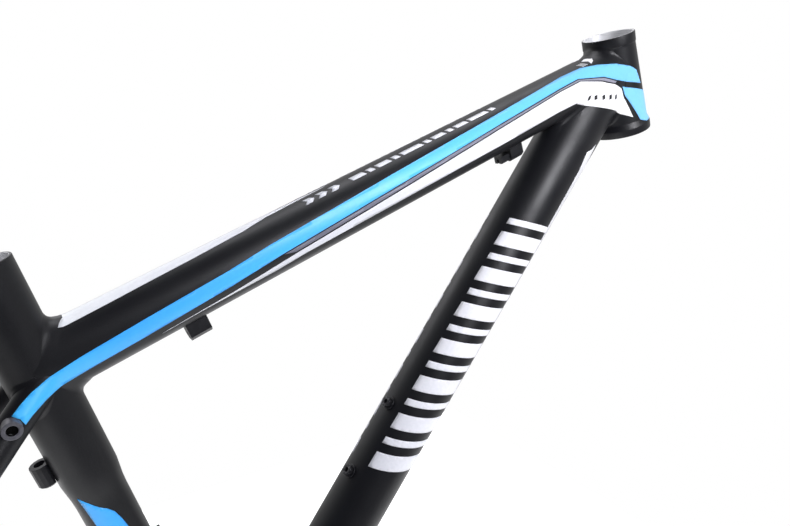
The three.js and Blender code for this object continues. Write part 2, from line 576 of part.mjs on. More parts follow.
for (const [tube, bosses] of [['down_tube', downTubeBosses], ['seat_tube', seatTubeBosses]]) {
  bosses.forEach((boss, i) => {
    const word = i === 0 ? 'upper' : 'lower';
    add(`${tube}_boss_${word}`, bottleBoss(boss), machinedAluminium);
    add(`${tube}_bolt_${word}`, bottleBolt(boss), blackSteel);
  });
}

add('cable_guide_rear', cableGuide(REAR_GUIDE.at, REAR_GUIDE.prong), blackPaint);
add('cable_guide_front', cableGuide(FRONT_GUIDE.at, FRONT_GUIDE.prong), blackPaint);
add('seat_tube_cable_stop', seatTubeStop(), blackPaint);
add('shell_cable_guide', shellGuide(), blackPlastic);
add('shell_guide_screw', shellGuideScrew(), blackSteel);

export default frame;
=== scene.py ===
"""The looks of a hardtail bicycle frame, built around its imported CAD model.

Sizes here are in millimetres and turn into metres as each mesh is made.
+X is forward, +Y is the rider's left, +Z is up. The origin is the middle of the bottom-bracket shell.
"""
import json
import math

import bmesh
import bpy
from mathutils import Matrix, Vector
from mathutils.bvhtree import BVHTree


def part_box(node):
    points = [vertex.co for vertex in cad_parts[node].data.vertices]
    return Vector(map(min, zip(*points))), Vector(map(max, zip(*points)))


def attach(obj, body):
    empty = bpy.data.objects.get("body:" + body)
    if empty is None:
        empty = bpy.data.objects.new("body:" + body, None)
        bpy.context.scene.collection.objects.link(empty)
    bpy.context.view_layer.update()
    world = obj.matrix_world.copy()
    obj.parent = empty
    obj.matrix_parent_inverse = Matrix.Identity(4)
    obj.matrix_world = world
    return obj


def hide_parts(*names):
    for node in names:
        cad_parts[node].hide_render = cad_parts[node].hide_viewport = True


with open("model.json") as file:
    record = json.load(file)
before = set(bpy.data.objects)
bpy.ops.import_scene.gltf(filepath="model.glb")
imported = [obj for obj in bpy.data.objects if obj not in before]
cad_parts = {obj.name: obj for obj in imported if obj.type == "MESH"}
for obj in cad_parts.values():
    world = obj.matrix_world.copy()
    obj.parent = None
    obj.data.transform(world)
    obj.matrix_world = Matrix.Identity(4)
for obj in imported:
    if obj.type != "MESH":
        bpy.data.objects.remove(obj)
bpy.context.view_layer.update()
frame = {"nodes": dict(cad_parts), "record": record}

MM = 0.001
SIDE = Vector((0, 1, 0))
FORWARD = Vector((1, 0, 0))
SIDES = (("right", -1), ("left", 1))
MOUNTS = {mount["name"]: mount for mount in frame["record"]["mounts"]}

# ---- Sizes repeated from the CAD ----
HEAD_OUTLINE = [(24.4, 0), (24.4, -9), (23.9, -10), (27.4, -82), (29.8, -87), (29.8, -94)]
HEAD_BORE = [(27, -94), (27, -82), (20.8, -78), (20.8, -16), (22, -16), (22, 0)]
SEAT_LENGTH = 415
SEAT_OUTLINE = [(15.9, 0), (15.9, 254), (17.5, 270), (17.5, 415)]
SEAT_BORE = 15.8
SEAT_BORE_DEPTH = 150
TOP_TUBE_SEAT_END = 346.8  # along the seat tube
TOP_TUBE_HEAD_END = 30.6  # below the top of the head tube
TOP_TUBE_HEIGHT = 21
TOP_TUBE_WIDTH = (18, 24.5)  # half widths at the seat end and the head end
DOWN_TUBE_START = Vector((0.5, 0, 6.4))
DOWN_TUBE_HEAD_END = 24.6
DOWN_TUBE_WIDTH = (27, 26.4)
DOWN_TUBE_HEIGHT = (21.5, 4.8, 5.7)  # half height at the start, then what a share and its square add
SHELL_RADIUS = 20
SHELL_BORE = 16.8
SHELL_WIDTH = 73
SEAT_STAY = [(-98, 10, 328), (-117, 21, 307), (-150, 38.5, 272),
             (-235, 54, 197), (-330, 64, 117), (-407, 71, 54)]
CHAIN_STAY = [(-12, 27, -1), (-50, 31, 2), (-95, 40.5, 6),
              (-180, 50, 13), (-300, 62, 24), (-402, 71, 33)]
SEAT_STAY_RADIUS = (9.2, 8)
CHAIN_STAY_HEIGHT = (11.5, 8)
CHAIN_STAY_WIDTH = (9, 8)
SEAT_BRIDGE = {"x": -163, "z": 260.5, "radius": 6.5, "reach": 42}
CHAIN_BRIDGE = {"x": -66, "z": 3.2, "radius": 6, "reach": 33}

# ---- Looks only ----
TUBE_SIDES = 96
STAY_SIDES = 48
BOLT_SIDES = 48
SHARP = 34  # degrees: an edge that turns more is drawn as a corner
SLOPE_STEP = 0.05
SETTLE_ROUNDS = 6
WELD = 9  # reach of the smoothed weld between two tubes
STAY_WELD = 6
BRIDGE_WELD = 4
WELD_STEPS = 10
WELD_LIP = 0.9  # how strongly a weld swells where it starts, as a share of its reach
WELD_LEAST = 0.15  # keeps a little of it where a tube only grazes the other shape
WELD_EDGE = 0.12  # how far a weld's outer edge lies under the surface that it meets
SINK = 0.8  # how far its hidden cap lies under that surface
CAP_STEPS = 4
WALK_STEPS = 80  # taken along a tube to find where it meets a shape
HALVINGS = 14  # of the step where it does
DOME_STEPS = 7
DOME_REACH = 0.9  # the length of a stay's rounded end, as a share of its half width
JOIN_GAP = 0.02  # points of a CAD mesh that are closer are joined
BEVEL_SHARP = 32  # degrees: a CAD edge that turns more is bevelled
PAINTED_RIM = 0.9  # width of the paint that shows round the head tube's end faces
DOWN_TUBE_TAPER = 4.2  # how far each side draws in towards the head tube
DOWN_TUBE_TAPER_START = 0.92  # where that starts, as a share of the tube's length
DECAL_HEIGHT = 0.22
DECAL_THICKNESS = 0.25
DECAL_CELL = 2.5
MARK_CELL = 3
DECAL_SHARP = 60  # degrees
DECAL_PROBE = 0.9  # spacing of the extra rays that keep a decal clear of small ridges
RIDGE = 1.5  # the tallest ridge that they follow
FAR = 400  # where the rays that place a decal start
NOISE_LOW = 0.3  # most of a noise texture's values lie between these two
NOISE_HIGH = 0.7
PAINT_START = -0.12  # metres forward: where the stripes' run of colours starts and ends
PAINT_END = 0.43


def lerp(a, b, t):
    return a + (b - a) * t


def mount_axis(name):
    return Vector(MOUNTS[name]["axis"]).normalized()


def on_middle_plane(name):
    """A mount's place, moved sideways onto the frame's middle plane, in millimetres."""
    x, _, z = MOUNTS[name]["pos_m"]
    return Vector((x / MM, 0, z / MM))


HEAD_TOP = on_middle_plane("head_tube_top_face")
HEAD_AXIS = mount_axis("head_tube_top_face")
SEAT_AXIS = mount_axis("seat_tube_top_face")
ORIGIN = Vector((0, 0, 0))


# ---- Shapes as distances, for the welds ----
def turned_radius(outline, along):
    """The outside radius of a turned part at a place along its axis."""
    points = sorted((place, radius) for radius, place in outline)
    if along <= points[0][0]:
        return points[0][1]
    for (a0, r0), (a1, r1) in zip(points, points[1:]):
        if along <= a1:
            return lerp(r0, r1, (along - a0) / max(a1 - a0, 1e-6))
    return points[-1][1]


def turned_field(origin, axis, outline):
    """Distance from a turned part's surface, positive outside it."""
    def field(p):
        d = p - origin
        along = d.dot(axis)
        return (d - axis * along).length - turned_radius(outline, along)
    return field


def union(*fields):
    """Distance from the nearest of several shapes."""
    def field(p):
        return min(f(p) for f in fields)
    return field


def slope(p, field):
    """The direction in which a distance grows fastest."""
    value = field(p)
    return Vector([(field(p + Vector(axis) * SLOPE_STEP) - value) / SLOPE_STEP
                   for axis in ((1, 0, 0), (0, 1, 0), (0, 0, 1))])


def settle(p, field, depth=0.0):
    """Moves a point to the nearest place that is that deep under a shape's surface."""
    least_slope = 0.1
    for _ in range(SETTLE_ROUNDS):
        away = slope(p, field)
        p = p - away * ((field(p) + depth) / max(away.length_squared, least_slope))
    return p


# ---- Tubes ----
class Tube:
    """A tube round a line of points. Its height lies in the frame's plane, its width sideways."""

    def __init__(self, points, half_height, half_width):
        self.points = [Vector(p) for p in points]
        self.half_height = half_height
        self.half_width = half_width
        self.steps = len(self.points) - 1
        self.length = sum((b - a).length for a, b in zip(self.points, self.points[1:]))

    def place(self, t):
        """Centre and the forward, upward and sideways directions at a share t of the line."""
        x = t * self.steps
        i = min(max(int(math.floor(x)), 0), self.steps - 1)
        a, b = self.points[i], self.points[i + 1]
        before = self.points[max(i - 1, 0)]
        after = self.points[min(i + 2, self.steps)]
        share = x - i
        centre = a.lerp(b, share) if 0 <= share <= 1 else a + (b - a) * share
        arriving, leaving = (b - before).normalized(), (after - a).normalized()
        along = arriving.lerp(leaving, min(max(share, 0), 1)).normalized()
        up = SIDE.cross(along).normalized() * -1
        return centre, along, up, along.cross(up) * -1

    def size(self, t):
        """Half height and half width. Past an end they stay what they are at that end."""
        share = min(max(t, 0), 1)
        return self.half_height(share), self.half_width(share)

    def point(self, t, angle):
        centre, _, up, side = self.place(t)
        high, wide = self.size(t)
        return centre + up * (high * math.cos(angle)) + side * (wide * math.sin(angle))

    def outward(self, t, angle):
        _, _, up, side = self.place(t)
        high, wide = self.size(t)
        return (up * (math.cos(angle) * wide) + side * (math.sin(angle) * high)).normalized()

    def field(self, p):
        """About the distance from the tube's surface, positive outside it."""
        best = None
        for i in range(self.steps):
            a, b = self.points[i], self.points[i + 1]
            share = (p - a).dot(b - a) / (b - a).length_squared
            if self.steps > 1:
                share = min(max(share, 0), 1)
            gap = (p - a - (b - a) * share).length
            if best is None or gap < best[0]:
                best = (gap, (i + share) / self.steps)
        centre, _, up, side = self.place(best[1])
        high, wide = self.size(best[1])
        d = p - centre
        above, aside = d.dot(up), d.dot(side)
        reach = math.hypot(above, aside)
        if reach < 1e-6:
            return -min(high, wide)
        return reach - reach / math.hypot(above / high, aside / wide)


def smooth_line(points, side, count=44):
    """Points along a centripetal Catmull-Rom curve, with y on one side of the frame."""
    knots = [Vector((x, y * side, z)) for x, y, z in points]
    knots = [knots[0] * 2 - knots[1]] + knots + [knots[-1] * 2 - knots[-2]]
    spans = len(knots) - 3

    def at(u):
        i = min(int(u * spans), spans - 1)
        p = knots[i:i + 4]
        t = [0.0]
        for a, b in zip(p, p[1:]):
            t.append(t[-1] + (b - a).length ** 0.5)
        x = lerp(t[1], t[2], u * spans - i)

        def mix(a, b, ta, tb):
            return a * ((tb - x) / (tb - ta)) + b * ((x - ta) / (tb - ta))
        a1, a2, a3 = (mix(p[k], p[k + 1], t[k], t[k + 1]) for k in range(3))
        b1, b2 = mix(a1, a2, t[0], t[2]), mix(a2, a3, t[1], t[3])
        return mix(b1, b2, t[1], t[2])
    return [at(k / count) for k in range(count + 1)]


def linear(pair):
    return lambda t: lerp(pair[0], pair[1], t)


def down_tube_height(t):
    """The half height, which grows towards the head tube."""
    start, growth, swell = DOWN_TUBE_HEIGHT
    return start + growth * t + swell * t * t


def down_tube_width(t):
    """The half width, drawn in near the head tube so that the tube's sides run into it."""
    share = min(max((t - DOWN_TUBE_TAPER_START) / (1 - DOWN_TUBE_TAPER_START), 0), 1)
    return lerp(*DOWN_TUBE_WIDTH, t) - DOWN_TUBE_TAPER * share * share * (3 - 2 * share)


def seat_tube_radius(t):
    return turned_radius(SEAT_OUTLINE, t * SEAT_LENGTH)


def both_stays(points, height, width):
    """The right and the left stay, by side."""
    return {side: Tube(smooth_line(points, side), linear(height), linear(width)) for side in (-1, 1)}


TOP_TUBE_START = SEAT_AXIS * TOP_TUBE_SEAT_END
TOP_TUBE_END = HEAD_TOP - HEAD_AXIS * TOP_TUBE_HEAD_END
DOWN_TUBE_END = HEAD_TOP - HEAD_AXIS * DOWN_TUBE_HEAD_END
top_tube = Tube([TOP_TUBE_START, TOP_TUBE_END], lambda t: TOP_TUBE_HEIGHT, linear(TOP_TUBE_WIDTH))
down_tube = Tube([DOWN_TUBE_START, DOWN_TUBE_END], down_tube_height, down_tube_width)
seat_tube = Tube([ORIGIN, SEAT_AXIS * SEAT_LENGTH], seat_tube_radius, seat_tube_radius)
seat_stays = both_stays(SEAT_STAY, SEAT_STAY_RADIUS, SEAT_STAY_RADIUS)
chain_stays = both_stays(CHAIN_STAY, CHAIN_STAY_HEIGHT, CHAIN_STAY_WIDTH)

head_field = turned_field(HEAD_TOP, HEAD_AXIS, HEAD_OUTLINE)
seat_field = turned_field(ORIGIN, SEAT_AXIS, SEAT_OUTLINE)


def shell_field(p):
    return math.hypot(p.x, p.z) - SHELL_RADIUS


def top_tube_field(p):
    """The top tube ends at the seat tube's axis."""
    behind = (TOP_TUBE_START - p).dot(top_tube.place(0)[1])
    return max(top_tube.field(p), behind)


# ---- Mesh helpers ----
def make_piece(name, verts, faces, material, replaces=(), sharp=SHARP):
    """A piece that rides on the frame, from points in millimetres."""
    mesh = bpy.data.meshes.new(name)
    mesh.from_pydata([v * MM for v in verts], [], faces)
    build = bmesh.new()
    build.from_mesh(mesh)
    bmesh.ops.remove_doubles(build, verts=build.verts, dist=1e-7)
    bmesh.ops.recalc_face_normals(build, faces=build.faces)
    build.to_mesh(mesh)
    build.free()
    piece = bpy.data.objects.new(name, mesh)
    bpy.context.scene.collection.objects.link(piece)
    piece.data.materials.append(material)
    smooth(piece, sharp)
    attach(piece, "root")
    if replaces:
        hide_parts(*replaces)
    return piece


def smooth(piece, sharp):
    """Shades a piece smooth, with corners where it turns by more than an angle."""
    build = bmesh.new()
    build.from_mesh(piece.data)
    for face in build.faces:
        face.smooth = True
    for edge in build.edges:
        edge.smooth = len(edge.link_faces) != 2 or edge.calc_face_angle(0) < math.radians(sharp)
    build.to_mesh(piece.data)
    build.free()


def rows_to_faces(count, rows):
    """Quads between neighbouring closed rings of `count` points."""
    faces = []
    for row in range(rows - 1):
        a, b = row * count, (row + 1) * count
        faces += [(a + i, a + (i + 1) % count, b + (i + 1) % count, b + i) for i in range(count)]
    return faces


def first_contact(tube, angle, field, start, end):
    """The share t at which a line along the tube, walked from start to end, first meets a shape."""
    before = start
    for k in range(1, WALK_STEPS + 1):
        t = lerp(start, end, k / WALK_STEPS)
        if field(tube.point(t, angle)) < 0:
            low, high = before, t
            for _ in range(HALVINGS):
                middle = (low + high) / 2
                if field(tube.point(middle, angle)) < 0:
                    high = middle
                else:
                    low = middle
            return high
        before = t
    return end


def bezier(a, b, c, u):
    """A point on the curve that leaves a and arrives at c, drawn towards b."""
    return a * (1 - u) ** 2 + b * (2 * u * (1 - u)) + c * u ** 2


def weld_rows(tube, angles, field, reach, toward, limit):
    """Rings of a smoothed weld, from the plain tube out onto the other shape, then its hidden cap."""
    starts, rows = [], [[] for _ in range(WELD_STEPS)]
    for angle in angles:
        t = first_contact(tube, angle, field, 0.5, limit)
        back = t - toward * reach / tube.length
        p0, p1 = tube.point(back, angle), tube.point(t, angle)
        outward = tube.outward(t, angle)
        square = max(1 - outward.dot(slope(p1, field).normalized()) ** 2, WELD_LEAST) ** 2
        p2 = settle(p1 + outward * (reach * square), field, WELD_EDGE)
        starts.append(back)
        for k in range(WELD_STEPS):
            u = (k + 1) / WELD_STEPS
            lip = outward * (WELD_LIP * reach * square * u * (1 - u) ** 3)
            rows[k].append(bezier(p0, p1, p2, u) + lip)
    edge = rows[-1]
    centre = sum(edge, Vector()) / len(angles)
    for k in range(CAP_STEPS):
        rows.append([settle(p.lerp(centre, k / CAP_STEPS), field, SINK) for p in edge])
    return starts, rows


def dome_rows(tube, angles, toward):
    """Rings that round off a tube's free end, which reaches no further than the line does."""
    reach = tube.half_width(1) * DOME_REACH
    end = 1.0 if toward > 0 else 0.0
    start = end - toward * reach / tube.length
    rows = []
    for k in range(1, DOME_STEPS):
        turn = k / DOME_STEPS * math.pi / 2
        t = start + toward * reach / tube.length * math.sin(turn)
        centre = tube.place(t)[0]
        rows.append([centre + (tube.point(t, angle) - centre) * math.cos(turn) for angle in angles])
    return [start] * len(angles), rows


def skin(name, tube, low, high, replaces, sides=TUBE_SIDES, rings=24, reach=WELD,
         limits=(0.0, 1.0), extra=()):
    """A painted tube, welded to the shapes `low` and `high`, domed where one is None,
    or left plain where one is "open" and then carried on by the extra (radius, share) rings."""
    angles = [2 * math.pi * i / sides for i in range(sides)]

    def end_rows(field, toward, limit):
        if field == "open":
            return [limit] * sides, []
        if field is None:
            return dome_rows(tube, angles, toward)
        return weld_rows(tube, angles, field, reach, toward, limit)
    starts, first = end_rows(low, -1, limits[0])
    ends, last = end_rows(high, 1, limits[1])
    rows = list(reversed(first))
    for k in range(rings + 1):
        share = k / rings
        rows.append([tube.point(lerp(a, b, share), angle) for a, b, angle in zip(starts, ends, angles)])
    rows += last
    for radius, t in extra:
        centre = tube.place(t)[0]
        rows.append([centre + (tube.point(t, angle) - centre).normalized() * radius for angle in angles])
    verts = [p for row in rows for p in row]
    faces = rows_to_faces(sides, len(rows))
    faces += [tuple(range(sides)), tuple(range(len(verts) - sides, len(verts)))]
    return make_piece(name, verts, faces, SATIN, replaces)


def rounded(profile, radius, steps=3):
    """A closed turned profile with its corners rounded by short arcs."""
    most = 0.45  # of the shorter edge, so that neighbouring arcs never meet
    result = []
    count = len(profile)
    for i, corner in enumerate(profile):
        here = Vector(corner)
        before, after = Vector(profile[i - 1]) - here, Vector(profile[(i + 1) % count]) - here
        reach = min(radius, before.length * most, after.length * most)
        a, b = here + before.normalized() * reach, here + after.normalized() * reach
        result += [bezier(a, here, b, k / steps) for k in range(steps + 1)]
    return result


def circle(centre, first, second, radius, count):
    """Evenly spaced points round a circle, which starts in its first direction."""
    turns = [2 * math.pi * i / count for i in range(count)]
    return [centre + first * (radius * math.cos(turn)) + second * (radius * math.sin(turn))
            for turn in turns]


def turned_ring(name, origin, axis, profile, material, replaces, sides=TUBE_SIDES, corner=0.4,
                across=None):
    """A ring turned about an axis from a closed profile of (radius, along) corners."""
    axis = axis.normalized()
    across = (across or SIDE.cross(axis)).normalized()
    third = axis.cross(across)
    profile = rounded(profile, corner) if corner else [Vector(p) for p in profile]
    rows = [circle(origin + axis * along, across, third, radius, sides) for radius, along in profile]
    verts = [p for row in rows for p in row]
    count = len(verts)
    faces = [tuple(v % count for v in face) for face in rows_to_faces(sides, len(rows) + 1)]
    return make_piece(name, verts, faces, material, replaces)


def repaint_where(piece, material, test):
    """Gives the second material to the faces whose centre, in millimetres, passes the test."""
    piece.data.materials.append(material)
    for face in piece.data.polygons:
        if test(Vector(face.center) / MM):
            face.material_index = 1


def cut_away(piece, cutter_meshes):
    """Cuts closed shapes out of a piece and keeps the plain mesh that is left."""
    for cutter in cutter_meshes:
        modifier = piece.modifiers.new("cut", "BOOLEAN")
        modifier.object = cutter
        modifier.solver = "EXACT"
    graph = bpy.context.evaluated_depsgraph_get()
    mesh = bpy.data.meshes.new_from_object(piece.evaluated_get(graph))
    piece.modifiers.clear()
    piece.data = mesh
    for cutter in cutter_meshes:
        bpy.data.objects.remove(cutter)
    smooth(piece, SHARP)


def prism(origin, axis, across, radius, length, corners):
    """A loose prism, used only to cut."""
    third = axis.cross(across)
    build = bmesh.new()
    rings = []
    for along in (0, length):
        points = circle(origin + axis * along, across, third, radius, corners)
        rings.append([build.verts.new(p * MM) for p in points])
    build.faces.new(rings[0])
    build.faces.new(rings[1])
    for i in range(corners):
        j = (i + 1) % corners
        build.faces.new((rings[0][i], rings[0][j], rings[1][j], rings[1][i]))
    return loose(build)


def box_cutter(centre, axes, sizes):
    """A loose box along three directions, used only to cut."""
    build = bmesh.new()
    bmesh.ops.create_cube(build, size=1)
    turn = Matrix([axis * size for axis, size in zip(axes, sizes)]).transposed()
    for vert in build.verts:
        vert.co = (turn @ vert.co + centre) * MM
    return loose(build)


def loose(build):
    """An object for a shape that only cuts others and is then removed."""
    bmesh.ops.recalc_face_normals(build, faces=build.faces)
    mesh = bpy.data.meshes.new("cutter")
    build.to_mesh(mesh)
    build.free()
    cutter = bpy.data.objects.new("cutter", mesh)
    bpy.context.scene.collection.objects.link(cutter)
    return cutter


# ---- Materials ----
def set_inputs(node, values):
    for name, value in values.items():
        node.inputs[name].default_value = value


def new_material(name, colour, roughness, metallic=0.0):
    material = bpy.data.materials.new(name)
    material.use_nodes = True
    shader = material.node_tree.nodes["Principled BSDF"]
    set_inputs(shader, {"Base Color": (*colour, 1), "Roughness": roughness, "Metallic": metallic})
    return material, material.node_tree, shader


def noise(tree, scale, detail=3.0, stretch=None):
    """Noise in the object's own space, in cells per metre, finer where a direction is stretched."""
    place = tree.nodes.new("ShaderNodeTexCoord")
    source = place.outputs["Object"]
    if stretch:
        mapping = tree.nodes.new("ShaderNodeMapping")
        mapping.inputs["Scale"].default_value = stretch
        tree.links.new(source, mapping.inputs["Vector"])
        source = mapping.outputs["Vector"]
    texture = tree.nodes.new("ShaderNodeTexNoise")
    set_inputs(texture, {"Scale": scale, "Detail": detail})
    tree.links.new(source, texture.inputs["Vector"])
    return texture.outputs["Fac"]


def spread(tree, factor, low, high, start=NOISE_LOW, end=NOISE_HIGH):
    """Maps a factor onto a range of values."""
    node = tree.nodes.new("ShaderNodeMapRange")
    set_inputs(node, {"From Min": start, "From Max": end, "To Min": low, "To Max": high})
    tree.links.new(factor, node.inputs["Value"])
    return node.outputs["Result"]


def ramp(tree, factor, stops):
    """Colours that run through (position, colour) stops."""
    node = tree.nodes.new("ShaderNodeValToRGB")
    elements = node.color_ramp.elements
    while len(elements) < len(stops):
        elements.new(0.5)
    for element, (position, colour) in zip(elements, stops):
        element.position = position
        element.color = (*colour, 1)
    tree.links.new(factor, node.inputs["Fac"])
    return node.outputs["Color"]


def bump(tree, shader, height, strength, distance):
    node = tree.nodes.new("ShaderNodeBump")
    set_inputs(node, {"Strength": strength, "Distance": distance})
    tree.links.new(height, node.inputs["Height"])
    tree.links.new(node.outputs["Normal"], shader.inputs["Normal"])


def mottle(tree, shader, factor, dark, light):
    """Varies a material's colour between two."""
    colour = ramp(tree, factor, [(NOISE_LOW, dark), (NOISE_HIGH, light)])
    tree.links.new(colour, shader.inputs["Base Color"])


def vary_roughness(tree, shader, factor, low, high):
    tree.links.new(spread(tree, factor, low, high), shader.inputs["Roughness"])


def colour_mix(tree, colour):
    """A mix whose first colour is given."""
    mix = tree.nodes.new("ShaderNodeMix")
    mix.data_type = "RGBA"
    tree.links.new(colour, mix.inputs["A"])
    return mix


def worn_edges(tree, colour, worn, amount=0.35):
    """Mixes in a paler colour where the surface turns sharply outward, broken up by noise."""
    geometry = tree.nodes.new("ShaderNodeNewGeometry")
    flat, edge_like = 0.53, 0.6
    edge = spread(tree, geometry.outputs["Pointiness"], 0, amount, flat, edge_like)
    patch = tree.nodes.new("ShaderNodeMath")
    patch.operation = "MULTIPLY"
    tree.links.new(edge, patch.inputs[0])
    tree.links.new(spread(tree, noise(tree, 220), 0, 1, 0.4, 0.6), patch.inputs[1])
    mix = colour_mix(tree, colour)
    tree.links.new(patch.outputs[0], mix.inputs["Factor"])
    mix.inputs["B"].default_value = (*worn, 1)
    return mix.outputs["Result"]


def satin_black():
    material, tree, shader = new_material("satin_black_paint", (0.008, 0.008, 0.01), 0.4)
    dark, light = (0.004, 0.0042, 0.0055), (0.008, 0.0083, 0.0105)
    colour = ramp(tree, noise(tree, 2600, 2), [(0.35, dark), (0.68, light)])
    tree.links.new(worn_edges(tree, colour, (0.05, 0.05, 0.055)), shader.inputs["Base Color"])
    vary_roughness(tree, shader, noise(tree, 34, 4), 0.38, 0.47)
    shader.inputs["Specular IOR Level"].default_value = 0.34
    bump(tree, shader, noise(tree, 1500, 2), 0.12, 0.0002)
    return material


def bare_aluminium():
    material, tree, shader = new_material("machined_aluminium", (0.86, 0.87, 0.88), 0.3, 1.0)
    grain = noise(tree, 90, 3, (1, 1, 24))
    mottle(tree, shader, grain, (0.72, 0.73, 0.75), (0.93, 0.94, 0.95))
    vary_roughness(tree, shader, grain, 0.22, 0.42)
    bump(tree, shader, grain, 0.25, 0.0001)
    return material


def black_steel():
    material, tree, shader = new_material("black_oxide_steel", (0.02, 0.02, 0.022), 0.35, 0.7)
    dark, light = (0.012, 0.012, 0.014), (0.035, 0.035, 0.04)
    colour = ramp(tree, noise(tree, 900, 3), [(NOISE_LOW, dark), (NOISE_HIGH, light)])
    tree.links.new(worn_edges(tree, colour, (0.22, 0.22, 0.23), 0.5), shader.inputs["Base Color"])
    vary_roughness(tree, shader, noise(tree, 400), 0.28, 0.45)
    bump(tree, shader, noise(tree, 3000, 2), 0.15, 0.0001)
    return material


def moulded_plastic():
    material, tree, shader = new_material("moulded_plastic", (0.012, 0.012, 0.013), 0.55)
    mottle(tree, shader, noise(tree, 300), (0.01, 0.01, 0.011), (0.02, 0.02, 0.021))
    vary_roughness(tree, shader, noise(tree, 60), 0.48, 0.62)
    bump(tree, shader, noise(tree, 2200, 2), 0.3, 0.0002)
    return material


def boss_grey():
    material, tree, shader = new_material("boss_grey", (0.07, 0.07, 0.08), 0.42)
    mottle(tree, shader, noise(tree, 500), (0.055, 0.055, 0.065), (0.09, 0.09, 0.105))
    vary_roughness(tree, shader, noise(tree, 90), 0.36, 0.5)
    bump(tree, shader, noise(tree, 1800, 2), 0.15, 0.0001)
    return material


def deep_shadow():
    """The unlit inside of a small hole."""
    material, tree, shader = new_material("deep_shadow", (0.002, 0.002, 0.002), 0.9)
    shader.inputs["Specular IOR Level"].default_value = 0.05
    mottle(tree, shader, noise(tree, 700), (0.001, 0.001, 0.001), (0.004, 0.004, 0.004))
    return material


def machined_bore():
    """Pale turned metal with fine rings, for the bores."""
    material, tree, shader = new_material("machined_bore", (0.6, 0.6, 0.61), 0.45, 0.25)
    grain = noise(tree, 60, 3, (1, 1, 30))
    mottle(tree, shader, grain, (0.5, 0.505, 0.52), (0.68, 0.68, 0.69))
    vary_roughness(tree, shader, grain, 0.38, 0.52)
    bump(tree, shader, grain, 0.2, 0.0001)
    return material


def decal_paint(name, stops, roughness):
    """Glossy stripe paint whose colour changes along the frame, from the seat tube to the head tube."""
    material, tree, shader = new_material(name, stops[0][1], roughness)
    place = tree.nodes.new("ShaderNodeTexCoord")
    split = tree.nodes.new("ShaderNodeSeparateXYZ")
    tree.links.new(place.outputs["Object"], split.inputs[0])
    along = spread(tree, split.outputs["X"], 0, 1, PAINT_START, PAINT_END)
    mix = colour_mix(tree, ramp(tree, along, stops))
    mix.blend_type = "MULTIPLY"
    mix.inputs["Factor"].default_value = 0.5
    grain = ramp(tree, noise(tree, 420, 4), [(NOISE_LOW, (0.86, 0.87, 0.88)), (NOISE_HIGH, (1, 1, 1))])
    tree.links.new(grain, mix.inputs["B"])
    tree.links.new(mix.outputs["Result"], shader.inputs["Base Color"])
    vary_roughness(tree, shader, noise(tree, 50), roughness - 0.04, roughness + 0.06)
    bump(tree, shader, noise(tree, 1300, 2), 0.08, 0.0002)
    return material


# The stripes' colours, at shares of the way from PAINT_START to PAINT_END.
SILVER_STOPS = [(0.0, (0.5, 0.5, 0.52)), (0.8, (0.6, 0.6, 0.62)), (1.0, (0.78, 0.78, 0.8))]
BLUE_STOPS = [(0.0, (0.06, 0.5, 1.0)), (0.12, (0.045, 0.38, 1.0)), (0.5, (0.09, 0.5, 1.0)),
              (0.82, (0.14, 0.5, 0.95)), (1.0, (0.2, 0.52, 0.95))]
WHITE_STOPS = [(0.0, (0.85, 0.87, 0.9)), (0.35, (0.6, 0.61, 0.66)),
               (0.7, (0.8, 0.8, 0.84)), (1.0, (0.92, 0.92, 0.93))]
GREY_STOPS = [(0.0, (0.05, 0.05, 0.07)), (0.6, (0.2, 0.2, 0.26)), (1.0, (0.3, 0.3, 0.36))]

SATIN = satin_black()
BARE = bare_aluminium()
STEEL = black_steel()
PLASTIC = moulded_plastic()
BOSS_GREY = boss_grey()
BORE = machined_bore()
SHADOW = deep_shadow()
SILVER = decal_paint("silver_strip", SILVER_STOPS, 0.35)
BLUE = decal_paint("blue_stripe", BLUE_STOPS, 0.4)
WHITE = decal_paint("white_stripe", WHITE_STOPS, 0.32)
GREY = decal_paint("grey_line", GREY_STOPS, 0.35)


# ---- Main tubes ----
def build_head_tube():
    piece = turned_ring("head_tube_painted", HEAD_TOP, HEAD_AXIS, HEAD_OUTLINE + HEAD_BORE, SATIN,
                        ["head_tube"], sides=128, corner=0.7)

    def bare(p):
        along = (p - HEAD_TOP).dot(HEAD_AXIS)
        radius = (p - HEAD_TOP - HEAD_AXIS * along).length
        return radius < turned_radius(HEAD_OUTLINE, along) - PAINTED_RIM
    repaint_where(piece, BORE, bare)
    return piece


